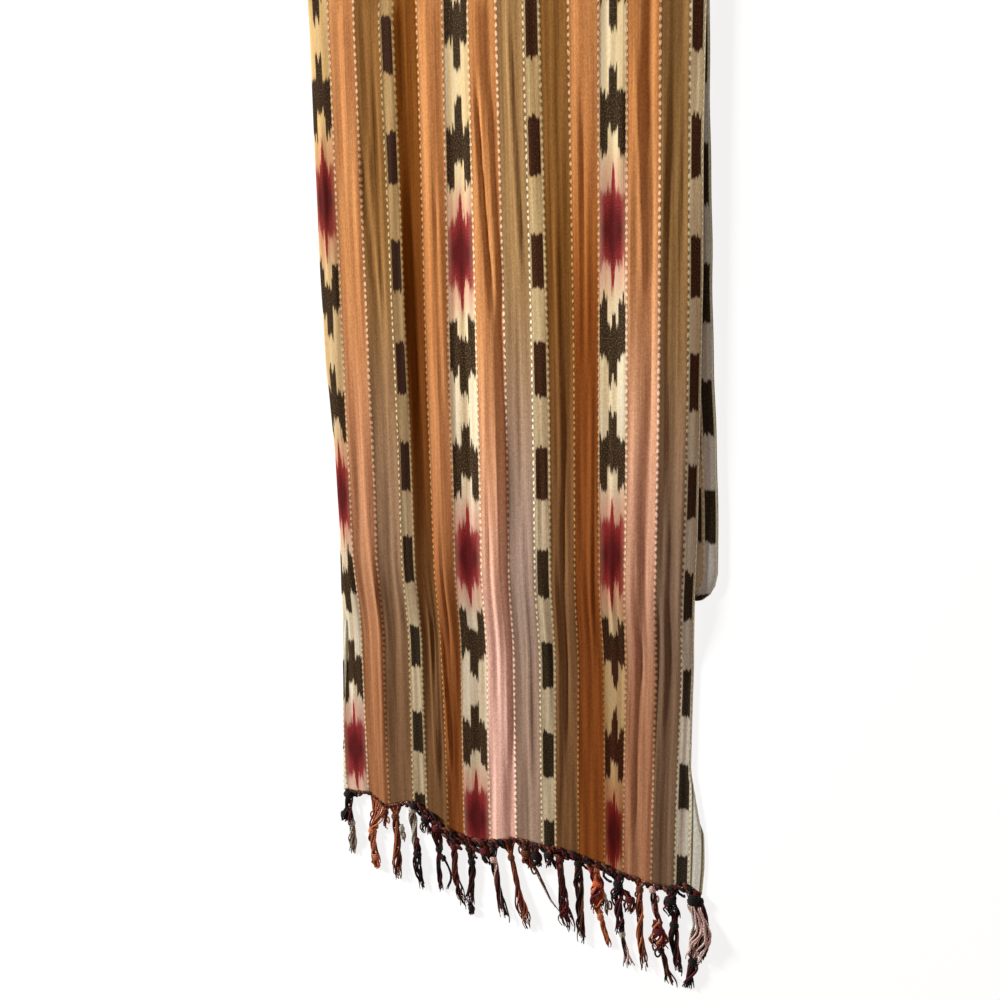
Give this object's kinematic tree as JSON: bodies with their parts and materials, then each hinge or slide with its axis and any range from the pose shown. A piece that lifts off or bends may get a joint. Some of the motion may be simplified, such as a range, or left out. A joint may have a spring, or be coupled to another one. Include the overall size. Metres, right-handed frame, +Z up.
{
  "type": "ikat scarf",
  "caption": "Long woven ikat scarf with lengthwise stripes, folded into a flat stack with its front fall on top and its knotted fringe laid out.",
  "frame": {"origin": "middle of the flat underside, on the surface the scarf lies on", "axes": "+X across the scarf, +Y along it from the fringe towards the top fold, +Z up from the surface"},
  "size_m": [0.258, 0.5817, 0.0101],
  "materials": {
    "ikat_cloth": "soft cotton and rayon weave with a low sheen",
    "inner_cloth": "soft cotton and rayon weave with a low sheen",
    "tassel_yarn": "twisted and knotted yarn"
  },
  "bodies": {
    "root": {"front_fall": "ikat_cloth", "back_fall": "ikat_cloth", "hidden_layers": "inner_cloth", "fringe": "tassel_yarn"}
  },
  "joints": []
}
